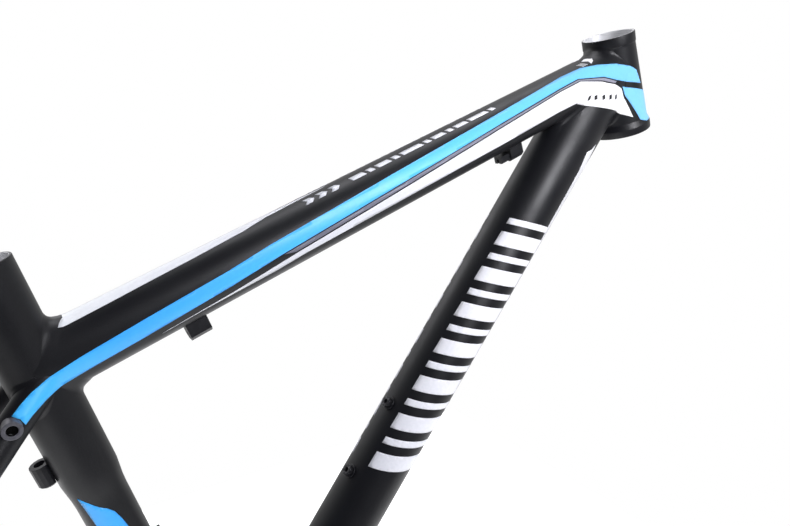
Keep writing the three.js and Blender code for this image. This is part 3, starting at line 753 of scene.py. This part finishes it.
def build_seat_tube():
    """The bore goes down past the clamp slit and stops at a hidden floor."""
    outside = SEAT_OUTLINE[-1][0]
    rim = SEAT_LENGTH - 0.5
    shoulder = rim + 0.35
    rings = [(outside, rim), (outside - 0.2, shoulder), (outside - 0.5, SEAT_LENGTH),
             (SEAT_BORE + 0.4, SEAT_LENGTH), (SEAT_BORE + 0.1, shoulder), (SEAT_BORE, rim)]
    rings += [(SEAT_BORE, SEAT_LENGTH - depth) for depth in (20, 60, 110, SEAT_BORE_DEPTH)]
    piece = skin("seat_tube_painted", seat_tube, shell_field, "open", ["seat_tube"], rings=60,
                 limits=(0.0, (rim - 1) / SEAT_LENGTH),
                 extra=[(radius, along / SEAT_LENGTH) for radius, along in rings])
    back = SEAT_AXIS.cross(SIDE).normalized()
    if back.x > 0:
        back = -back
    slit_middle = SEAT_AXIS * (SEAT_LENGTH - 14) + back * 17
    slit_size = (20, 3, 36)  # backward, sideways and along the tube
    slit = box_cutter(slit_middle, (back, SIDE, SEAT_AXIS), slit_size)
    hole_start = SEAT_AXIS * (SEAT_LENGTH - 32) + back * 7
    hole = prism(hole_start, back, SIDE, radius=2.6, length=20, corners=24)
    cut_away(piece, [slit, hole])

    def bare(p):
        along = p.dot(SEAT_AXIS)
        inside = (p - SEAT_AXIS * along).length < SEAT_BORE + 0.25
        return inside and along > SEAT_LENGTH - SEAT_BORE_DEPTH + 1
    repaint_where(piece, BORE, bare)
    return piece


def build_shell():
    """The bottom-bracket shell, with its threads cut a short way in from both faces."""
    half = SHELL_WIDTH / 2
    bevel, relief = 0.5, SHELL_BORE + 0.8
    pitch, depth, turns, start = 1.2, 0.5, 16, half - 2
    plain = 14  # half the length without a thread
    thread = []
    for k in range(turns):
        thread.append((SHELL_BORE, start - k * pitch))
        thread.append((SHELL_BORE + depth, start - (k + 0.5) * pitch))
    profile = [(SHELL_RADIUS - bevel, -half), (SHELL_RADIUS, -half + bevel)]
    profile += [(SHELL_RADIUS, half - bevel), (SHELL_RADIUS - bevel, half), (relief, half)]
    profile += thread + [(relief, plain), (relief, -plain)]
    profile += [(radius, -along) for radius, along in reversed(thread)] + [(relief, -half)]
    piece = turned_ring("bb_shell_painted", ORIGIN, SIDE, profile, SATIN, ["bb_shell"],
                        corner=0, across=FORWARD)
    repaint_where(piece, BARE, lambda p: math.hypot(p.x, p.z) < SHELL_RADIUS - 0.3)


def build_stay(name, stay, joined, start):
    """A stay, welded at the top or front and domed at the dropout."""
    return skin(f"{name}_painted", stay, joined, None, [name], sides=STAY_SIDES, rings=60,
                reach=STAY_WELD, limits=(start, 1.0))


def build_bridge(name, place, stays):
    """A straight tube across the frame, from one stay to the other."""
    start, end = (Vector((place["x"], side * place["reach"], place["z"])) for side in (-1, 1))
    bridge = Tube([start, end], lambda t: place["radius"], lambda t: place["radius"])
    bridge.place = lambda t: (lerp(start, end, t), SIDE, Vector((0, 0, 1)), FORWARD)
    skin(f"{name}_painted", bridge, stays[-1].field, stays[1].field, [name], sides=STAY_SIDES,
         rings=10, reach=BRIDGE_WELD)


head_piece = build_head_tube()
seat_piece = build_seat_tube()
top_piece = skin("top_tube_painted", top_tube, seat_field, head_field, ["top_tube"])
down_piece = skin("down_tube_painted", down_tube, union(shell_field, seat_field),
                  union(head_field, top_tube_field), ["down_tube"], rings=40)
build_shell()

behind_seat = union(seat_field, top_tube_field)
seat_stay_pieces = []
for word, side in SIDES:
    seat_stay_pieces.append(build_stay(f"seat_stay_{word}", seat_stays[side], behind_seat, -0.04))
    build_stay(f"chain_stay_{word}", chain_stays[side], shell_field, -0.02)
build_bridge("seat_stay_bridge", SEAT_BRIDGE, seat_stays)
build_bridge("chain_stay_bridge", CHAIN_BRIDGE, chain_stays)


# ---- Small parts ----
def node_middle(node):
    low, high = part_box(node)
    return (low + high) / 2 / MM


# Turned profiles, as (radius, height) corners.
BOLT_PROFILE = [(0.01, -12), (2.2, -12), (2.2, 0), (4.6, 0), (4.6, 3.4), (0.01, 3.4)]
BOSS_PROFILE = [(2.6, -11), (3.6, -11), (3.6, -0.3), (5.6, -0.3), (5.6, 1.2), (2.6, 1.2)]
RACK_BOSS_PROFILE = [(5.3, -12.5), (5.3, 0), (3.4, 0), (2.9, -0.6), (2.9, -2.2), (0.01, -2.2),
                     (0.01, -12.5)]
RACK_BOSS_HOLE = 2.95
RACK_BOSS_FACE = 32.5  # from the frame's middle plane
BOSS_PROUD = 0.3
BOLT_PROUD = 1.5


def bottle_bolt(name, foot, outward):
    """A bolt standing on a boss, with a hexagon socket."""
    piece = turned_ring(f"{name}_head", foot, outward, BOLT_PROFILE, STEEL, [name],
                        sides=BOLT_SIDES, corner=0.45)
    cut_away(piece, [prism(foot + outward * 1.2, outward, SIDE, radius=2.3, length=6, corners=6)])


def bottle_boss(name, foot, outward):
    turned_ring(f"{name}_flange", foot, outward, BOSS_PROFILE, SATIN, [name],
                sides=BOLT_SIDES, corner=0.35)


def rack_boss(word, side):
    """A turned boss on a seat stay, with a dark hole in its outer face."""
    middle = node_middle(f"rack_boss_{word}")
    face = Vector((middle.x, side * RACK_BOSS_FACE, middle.z))
    ring = turned_ring(f"rack_boss_{word}_ring", face, Vector((0, side, 0)), RACK_BOSS_PROFILE,
                       BOSS_GREY, [f"rack_boss_{word}"], sides=BOLT_SIDES, across=FORWARD)
    repaint_where(ring, SHADOW, lambda p: math.hypot(p.x - face.x, p.z - face.z) < RACK_BOSS_HOLE)


def boss_place(tube_name, which):
    """Foot and outward direction of a bottle boss, from the middle line of its CAD box."""
    tube = {"down_tube": down_tube, "seat_tube": seat_tube}[tube_name]
    middle = node_middle(f"{tube_name}_boss_{which}")
    start, along, _, _ = tube.place(0)
    t = (middle - start).dot(along) / tube.length
    centre, _, up, _ = tube.place(t)
    outward = up if (middle - centre).dot(up) > 0 else -up
    return centre + outward * (tube.half_height(t) + BOSS_PROUD), outward


for tube_name in ("down_tube", "seat_tube"):
    for which in ("upper", "lower"):
        foot, outward = boss_place(tube_name, which)
        bottle_boss(f"{tube_name}_boss_{which}", foot, outward)
        bottle_bolt(f"{tube_name}_bolt_{which}", foot + outward * BOLT_PROUD, outward)
for word, side in SIDES:
    rack_boss(word, side)

# Sub-parts that keep their CAD shape: material, slot and how far their edges are bevelled.
PAINTED = (SATIN, "paint", 0.6)
CAD_FINISH = {
    "dropout_right": PAINTED, "dropout_left": PAINTED,
    "derailleur_hanger": (BARE, "machined_aluminium", 0.5), "hanger_bolt": (STEEL, "black_steel", 0.2),
    "disc_brake_mount": PAINTED, "cable_guide_rear": PAINTED,
    "cable_guide_front": PAINTED, "seat_tube_cable_stop": (SATIN, "paint", 0.4),
    "shell_cable_guide": (PLASTIC, "plastic", 0.4), "shell_guide_screw": (STEEL, "black_steel", 0.2),
}
for node, (material, slot, bevel) in CAD_FINISH.items():
    piece = frame["nodes"][node]
    piece.data.materials.clear()
    piece.data.materials.append(material)
    join = piece.modifiers.new("join", "WELD")
    join.merge_threshold = JOIN_GAP * MM
    edges = piece.modifiers.new("edges", "BEVEL")
    edges.width = bevel * MM
    edges.segments = 3
    edges.limit_method = "ANGLE"
    edges.angle_limit = math.radians(BEVEL_SHARP)
    edges.harden_normals = True


# ---- Decals ----
def surface_of(pieces):
    """One search tree over the painted pieces, in millimetres."""
    verts, faces = [], []
    for piece in pieces:
        first = len(verts)
        verts += [v.co / MM for v in piece.data.vertices]
        faces += [[first + i for i in polygon.vertices] for polygon in piece.data.polygons]
    return BVHTree.FromPolygons(verts, faces)


def filled(outline, cell):
    """Triangles and small cells that fill an outline of (u, v) points."""
    build = bmesh.new()
    build.faces.new([build.verts.new((u, v, 0)) for u, v in outline])
    for axis in (0, 1):
        values = [p[axis] for p in outline]
        count = int((max(values) - min(values)) / cell) + 1
        for k in range(1, count):
            at = [0, 0, 0]
            at[axis] = lerp(min(values), max(values), k / count)
            normal = [0, 0, 0]
            normal[axis] = 1
            everything = build.verts[:] + build.edges[:] + build.faces[:]
            bmesh.ops.bisect_plane(build, geom=everything, plane_co=at, plane_no=normal, dist=1e-5)
    bmesh.ops.triangulate(build, faces=build.faces)
    verts = [tuple(v.co[:2]) for v in build.verts]
    faces = [tuple(v.index for v in f.verts) for f in build.faces]
    build.free()
    return verts, faces


def point_over(ray, u, v, height):
    """A point just over the painted surface, or None where there is none."""
    origin, direction = ray(u, v)
    middle, normal, _, _ = painted.ray_cast(origin, direction)
    if middle is None:
        return None
    total = facing(normal, direction)
    lift = 0.0
    for du, dv in ((DECAL_PROBE, 0), (-DECAL_PROBE, 0), (0, DECAL_PROBE), (0, -DECAL_PROBE)):
        start, way = ray(u + du, v + dv)
        hit, normal, _, _ = painted.ray_cast(start, way)
        if hit is None:
            continue
        rise = (hit - middle).dot(total.normalized())
        if abs(rise) < RIDGE:
            total = total + facing(normal, way)
            lift = max(lift, rise)
    return middle + total.normalized() * (height + lift)


def facing(normal, direction):
    """A surface's direction, turned towards where a ray comes from."""
    return -normal if normal.dot(direction) > 0 else normal


def decal(name, outlines, ray, material, cell=DECAL_CELL, height=DECAL_HEIGHT):
    """Thin paint over the surface. `ray(u, v)` gives where to look from and in which direction."""
    verts, faces = [], []
    for outline in outlines:
        flat, cells = filled(outline, cell)
        first = len(verts)
        verts += [point_over(ray, u, v, height) for u, v in flat]
        faces += [tuple(first + i for i in face) for face in cells]
    faces = [face for face in faces if all(verts[i] is not None for i in face)]
    used = sorted({i for face in faces for i in face})
    number = {old: new for new, old in enumerate(used)}
    faces = [tuple(number[i] for i in face) for face in faces]
    piece = make_piece(name, [verts[i] for i in used], faces, material, sharp=DECAL_SHARP)
    thickness = piece.modifiers.new("thickness", "SOLIDIFY")
    thickness.thickness = DECAL_THICKNESS * MM
    thickness.offset = -1 if points_outward(piece) else 1


def points_outward(piece):
    """True if the sheet's faces look away from the frame's middle plane."""
    total = sum((f.normal.y * (1 if f.center.y > 0 else -1)) * f.area for f in piece.data.polygons)
    return total >= 0


def side_view(start, along, up, side):
    """Looks at the frame from one side: u runs along a tube and v up across it."""
    def ray(u, v):
        place = start + along * u + up * v
        return Vector((place.x, side * FAR, place.z)), Vector((0, -side, 0))
    return ray


def head_wrap(side):
    """u is below the head tube's top. v is forward across its side, then round its front."""
    forward = SIDE.cross(HEAD_AXIS).normalized()

    def ray(u, v):
        place = HEAD_TOP - HEAD_AXIS * u
        if v < 0:
            place = place + forward * v
            return Vector((place.x, side * FAR, place.z)), Vector((0, -side, 0))
        turn = v / turned_radius(HEAD_OUTLINE, -u)
        outward = forward * math.sin(turn) + Vector((0, side * math.cos(turn), 0))
        return place + outward * FAR, -outward
    return ray


def top_view(start, along, up, side):
    """Looks down on a tube: u runs along it and v sideways, towards one side of the frame."""
    def ray(u, v):
        return start + along * u + up * FAR + Vector((0, side * v, 0)), -up
    return ray


# The stripes on the side of the top tube: (along it from the seat tube's axis, above its axis).
BLUE_STRIPE = [
    (554.5, -18.4), (550.5, -4.3), (543.2, 1.6), (526, 9.3), (506, 15), (488, 18), (462, 18.4),
    (381, 15.7), (270, 12), (155, 7.3), (123, 4.8), (66, 2.3), (25, 0), (4, -2.2), (-5.4, -4),
    (-12.2, -6.3), (-18.3, -9), (-15.6, -12.2), (-15, -16.4), (-9.9, -14.3), (-1.1, -12), (8.5, -11.1),
    (25, -10), (61, -8.6), (119, -5.6), (161.6, -2.2), (270, 3.4), (373, 8.6), (450, 11.8), (475, 12.2),
    (505, 4), (521.5, -4.5), (540, -12.5)]
WHITE_AREA = [
    (448.5, 9.3), (476, 9.4), (500, 1.2), (517, -7), (526, -14), (532.5, -28), (536.5, -46), (518, -33),
    (487.8, -18.2), (464, -6.6), (442, -6), (368, -8), (176, -10.4), (153, -11.8), (100, -11.9),
    (70, -12.8), (120, -10.6), (169.5, -6.8), (270, -1), (371, 5.2)]
GREY_LINE = [
    (161, -3.1), (270, 2.6), (373, 7.8), (450, 10.9), (475, 11.3), (504.5, 3.2), (520.5, -5.2),
    (518, -6.2), (501, 2), (476, 10.2), (449, 10.1), (371, 6.1), (270, 0), (170, -5.6)]
# On top of the top tube: (along it, sideways).
TOP_WEDGE = [
    (22.5, 9.6), (48, 9.2), (78, 8.4), (110, 7.6), (145, 6), (165, 2.6), (185, 1.6), (215, 0),
    (185, -1.6), (165, -2.6), (145, -6), (110, -7.6), (78, -8.4), (48, -9.2), (22.5, -9.6), (27, -3),
    (27, 3)]
HEAD_MARK = [(500, 5), (507, 2.7), (511, 8.5), (508, 11.5), (503, 13.4), (504, 9)]
# On the head tube: (below its top, forward of its axis).
HEAD_WEDGE = [(44.4, -18.6), (55.8, 9.6), (68, 40), (86, 40), (85.5, 6), (82, -2)]
# On the down tube: (along it, above its axis).
DOWN_TUBE_STRIP = [
    (580, -14), (573, -11.4), (565.5, -6), (547.6, -10), (523.4, -11.2), (492, -11.5), (470, -14),
    (454, -15.8), (396, -16), (326, -15.8), (250, -17), (240, -18.5), (326, -19), (454, -20.5),
    (523, -21), (560, -19)]
# On the seat tube: (along it, forward of its axis).
SEAT_PATCH = [
    (263, -11.6), (252, -3.5), (248.5, 0), (244, 2.8), (236, 4.6), (229, 5.4), (212, 8), (170, 13),
    (150, 12), (190, 2), (225, -6), (238, -9.6)]


def slanted_bar(start, width, low, high, lean):
    """A bar across a tube. Its upper end is shifted along the tube by `lean`."""
    return [(start, low), (start + width, low), (start + width + lean, high), (start + lean, high)]


def down_tube_bars():
    """A row of slanted bars, wide and narrow in turn."""
    first, groups, pitch, lean = 243, 7, 36, -16
    wide, narrow, gap = 14, 6, 8
    low, high_share = -14.5, 0.88
    bars = []
    for group in range(groups):
        at = first + group * pitch
        high = down_tube_height(at / down_tube.length) * high_share
        bars.append(slanted_bar(at, wide, low, high, lean))
        bars.append(slanted_bar(at + wide + gap, narrow, low, high, lean))
    return bars


def top_tube_marks():
    """Small arrowheads, then a row of dashes, along the top tube's upper edge."""
    marks = []
    for at in (192, 203, 214):
        marks.append([(at, 5.5), (at + 6, 5.5), (at + 9, 8), (at + 6, 10.5), (at, 10.5), (at + 3, 8)])
    at, gap = 232, 3.5
    for length in (12, 5, 12, 5, 20, 5, 12, 5, 12, 20, 5):
        marks.append(slanted_bar(at, length, 6, 10, 2))
        at += length + gap
    return marks


def head_hatch():
    """Three fine lines behind the small mark by the head tube."""
    return [slanted_bar(at, 0.8, 7, 12.5, 3.2) for at in (490, 492.5, 495)]


def head_dashes():
    """A short row of slanted dashes on the white area by the head tube."""
    dashes = []
    for k in range(5):
        at, low = 480 + 8 * k, -9.5 - 2.6 * k
        dashes.append(slanted_bar(at, 3.4, low, low + 3.6, 1.5))
    return dashes


painted = surface_of([head_piece, seat_piece, top_piece, down_piece] + seat_stay_pieces)
_, TOP_ALONG, TOP_UP, _ = top_tube.place(0)
_, DOWN_ALONG, DOWN_UP, _ = down_tube.place(0)
SEAT_FORWARD = SIDE.cross(SEAT_AXIS).normalized()
if TOP_UP.z < 0 or DOWN_UP.z < 0 or SEAT_FORWARD.x < 0:
    raise ValueError("a tube's up direction points down")

for word, side in SIDES:
    on_top_tube = side_view(TOP_TUBE_START, TOP_ALONG, TOP_UP, side)
    on_down_tube = side_view(DOWN_TUBE_START, DOWN_ALONG, DOWN_UP, side)
    on_seat_tube = side_view(ORIGIN, SEAT_AXIS, SEAT_FORWARD, side)
    over_top_tube = top_view(TOP_TUBE_START, TOP_ALONG, TOP_UP, side)
    decal(f"blue_stripe_{word}", [BLUE_STRIPE], on_top_tube, BLUE)
    decal(f"white_area_{word}", [WHITE_AREA], on_top_tube, WHITE)
    decal(f"grey_line_{word}", [GREY_LINE], on_top_tube, GREY)
    decal(f"head_wedge_{word}", [HEAD_WEDGE], head_wrap(side), BLUE)
    decal(f"seat_patch_{word}", [SEAT_PATCH], on_seat_tube, BLUE)
    decal(f"down_tube_strip_{word}", [DOWN_TUBE_STRIP], on_down_tube, SILVER)
    decal(f"head_dashes_{word}", head_dashes(), on_top_tube, SATIN, height=2 * DECAL_HEIGHT)
    decal(f"down_tube_bars_{word}", down_tube_bars(), on_down_tube, WHITE)
    marks = top_tube_marks() + head_hatch() + [HEAD_MARK]
    decal(f"top_tube_marks_{word}", marks, over_top_tube, WHITE, cell=MARK_CELL)
decal("top_wedge", [TOP_WEDGE], top_view(TOP_TUBE_START, TOP_ALONG, TOP_UP, -1), WHITE)


# ---- Stage, light and camera ----
# Places and sizes from here on are in metres.
DARK_SIDE = 0.06  # how bright the room is on the viewer's side and on the far side
BRIGHT_SIDE = 0.85
FLOOR_GLOW = 1.0
FLOOR_WHITE = 0.93
LIGHT_COLOUR = (0.95, 0.95, 1.0)
HEADING = (0.57, 0.82, 0)  # the level direction in which the photograph looks
CAMERA_PLACE = (-0.11755, -0.38994, 0.47489)
CAMERA_FORWARD = (0.5558, 0.8003, -0.2250)
CAMERA_RIGHT = (0.8235, -0.5670, 0.0174)
LENS = 27.5  # millimetres, on a sensor 36 wide


def floor_paint():
    material, tree, shader = new_material("floor_white", [FLOOR_WHITE] * 3, 0.8)
    set_inputs(shader, {"Emission Color": (1, 1, 1, 1), "Emission Strength": FLOOR_GLOW})
    mottle(tree, shader, noise(tree, 3), [FLOOR_WHITE * 0.985] * 3, [FLOOR_WHITE] * 3)
    return material


def build_floor():
    """A white floor well below the frame, which hangs in the air as it does in the photograph."""
    size, height = 1.7, -0.9
    corners = [(x * size, y * size, height) for x, y in ((-1, -1), (1, -1), (1, 1), (-1, 1))]
    mesh = bpy.data.meshes.new("floor")
    mesh.from_pydata(corners, [], [(0, 1, 2, 3)])
    floor = bpy.data.objects.new("floor", mesh)
    bpy.context.scene.collection.objects.link(floor)
    mesh.materials.append(floor_paint())


def area_light(name, location, target, size, power, spread_degrees=180, reflected=True):
    """A soft light. One that isn't reflected only lights the matt part of a surface."""
    light = bpy.data.lights.new(name, "AREA")
    light.shape = "RECTANGLE"
    light.size, light.size_y = size
    light.energy = power
    light.color = LIGHT_COLOUR
    light.spread = math.radians(spread_degrees)
    lamp = bpy.data.objects.new(name, light)
    lamp.location = location
    lamp.visible_glossy = reflected
    lamp.rotation_euler = (Vector(target) - Vector(location)).to_track_quat("-Z", "Y").to_euler()
    bpy.context.scene.collection.objects.link(lamp)


def build_world():
    """A white room, darker on the viewer's side so that the black paint stays black."""
    world = bpy.data.worlds.new("studio")
    bpy.context.scene.world = world
    world.use_nodes = True
    tree = world.node_tree
    seen = tree.nodes["Background"]
    seen.inputs["Color"].default_value = (1, 1, 1, 1)
    light = tree.nodes.new("ShaderNodeBackground")
    place = tree.nodes.new("ShaderNodeTexCoord")
    facing_away = tree.nodes.new("ShaderNodeVectorMath")
    facing_away.operation = "DOT_PRODUCT"
    facing_away.inputs[1].default_value = HEADING
    tree.links.new(place.outputs["Generated"], facing_away.inputs[0])
    shade = spread(tree, facing_away.outputs["Value"], DARK_SIDE, BRIGHT_SIDE, -0.3, 0.4)
    tree.links.new(shade, light.inputs["Strength"])
    path = tree.nodes.new("ShaderNodeLightPath")
    mix = tree.nodes.new("ShaderNodeMixShader")
    for i, output in enumerate((path.outputs["Is Camera Ray"], light.outputs[0], seen.outputs[0])):
        tree.links.new(output, mix.inputs[i])
    tree.links.new(mix.outputs[0], tree.nodes["World Output"].inputs["Surface"])


def build_camera():
    """The photograph's view, from the right and 35 degrees towards the back, 13 degrees down."""
    camera = bpy.data.cameras.new("camera")
    camera.lens = LENS
    camera.sensor_width = 36
    camera.clip_start = 0.01
    viewer = bpy.data.objects.new("camera", camera)
    forward = Vector(CAMERA_FORWARD).normalized()
    up = Vector(CAMERA_RIGHT).cross(forward).normalized()
    turn = Matrix([forward.cross(up), up, -forward]).transposed()
    viewer.matrix_world = Matrix.Translation(CAMERA_PLACE) @ turn.to_4x4()
    bpy.context.scene.collection.objects.link(viewer)
    bpy.context.scene.camera = viewer


build_floor()
build_world()
area_light("fill", (-0.5, -2.2, 1.5), (0.1, 0, 0.35), (1.9, 1.2), power=40, reflected=False)
area_light("key", (0.42, -0.95, 0.85), (0.33, 0, 0.43), (0.4, 0.4), power=1.9, spread_degrees=70)
area_light("left", (-0.3, 2.2, 1.4), (0.1, 0, 0.3), (1.6, 1.0), power=9)
area_light("top", (0.3, 0.5, 2.2), (0.1, 0, 0.3), (1.4, 0.8), power=16)
build_camera()
bpy.context.scene.view_settings.view_transform = "Standard"
